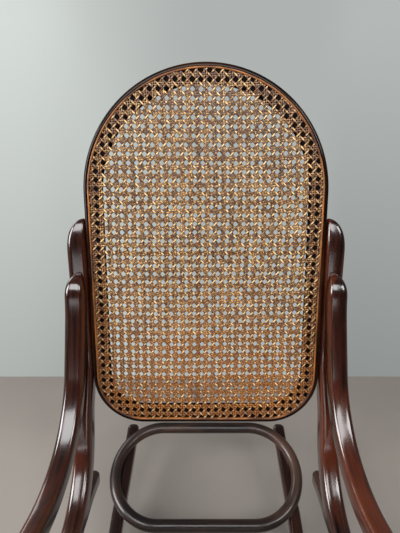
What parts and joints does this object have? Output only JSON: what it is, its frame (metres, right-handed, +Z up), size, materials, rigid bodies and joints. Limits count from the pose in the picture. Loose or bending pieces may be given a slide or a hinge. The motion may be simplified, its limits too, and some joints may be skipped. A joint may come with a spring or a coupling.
{
  "type": "bentwood rocking chair",
  "caption": "Bentwood rocking chair with a tall round-topped caned back, caned seat, open looped arms on curved runners, and an oval stretcher across the runners' tails.",
  "frame": {"origin": "middle of the bounding box at floor level, under the chair", "axes": "+Z is up, -Y is the way the sitter faces, +X is the side at the picture's right"},
  "size_m": [0.518, 1.0222, 1.1008],
  "materials": {
    "rod_wood": "gloss",
    "hoop_wood": "satin",
    "frame_wood": "gloss",
    "cane": "satin",
    "spline": "satin",
    "screw_steel": "satin"
  },
  "bodies": {
    "root": {"back_cane": "cane", "back_frame": "frame_wood", "back_spline": "spline", "front_stretcher": "rod_wood", "hoop_stretcher": "hoop_wood", "left_arm_foot_screw": "screw_steel", "left_arm_rail_screw": "screw_steel", "left_arm_rod": "rod_wood", "left_arm_tip_screw": "screw_steel", "left_back_screw_1": "screw_steel", "left_back_screw_2": "screw_steel", "left_hoop_screw_1": "screw_steel", "left_hoop_screw_2": "screw_steel", "left_post_and_seat_rail": "rod_wood", "left_rail_screw_1": "screw_steel", "left_rail_screw_2": "screw_steel", "left_runner": "rod_wood", "left_seat_screw_1": "screw_steel", "left_seat_screw_2": "screw_steel", "right_arm_foot_screw": "screw_steel", "right_arm_rail_screw": "screw_steel", "right_arm_rod": "rod_wood", "right_arm_tip_screw": "screw_steel", "right_back_screw_1": "screw_steel", "right_back_screw_2": "screw_steel", "right_hoop_screw_1": "screw_steel", "right_hoop_screw_2": "screw_steel", "right_post_and_seat_rail": "rod_wood", "right_rail_screw_1": "screw_steel", "right_rail_screw_2": "screw_steel", "right_runner": "rod_wood", "right_seat_screw_1": "screw_steel", "right_seat_screw_2": "screw_steel", "seat_cane": "cane", "seat_frame": "frame_wood", "seat_spline": "spline"}
  },
  "joints": []
}
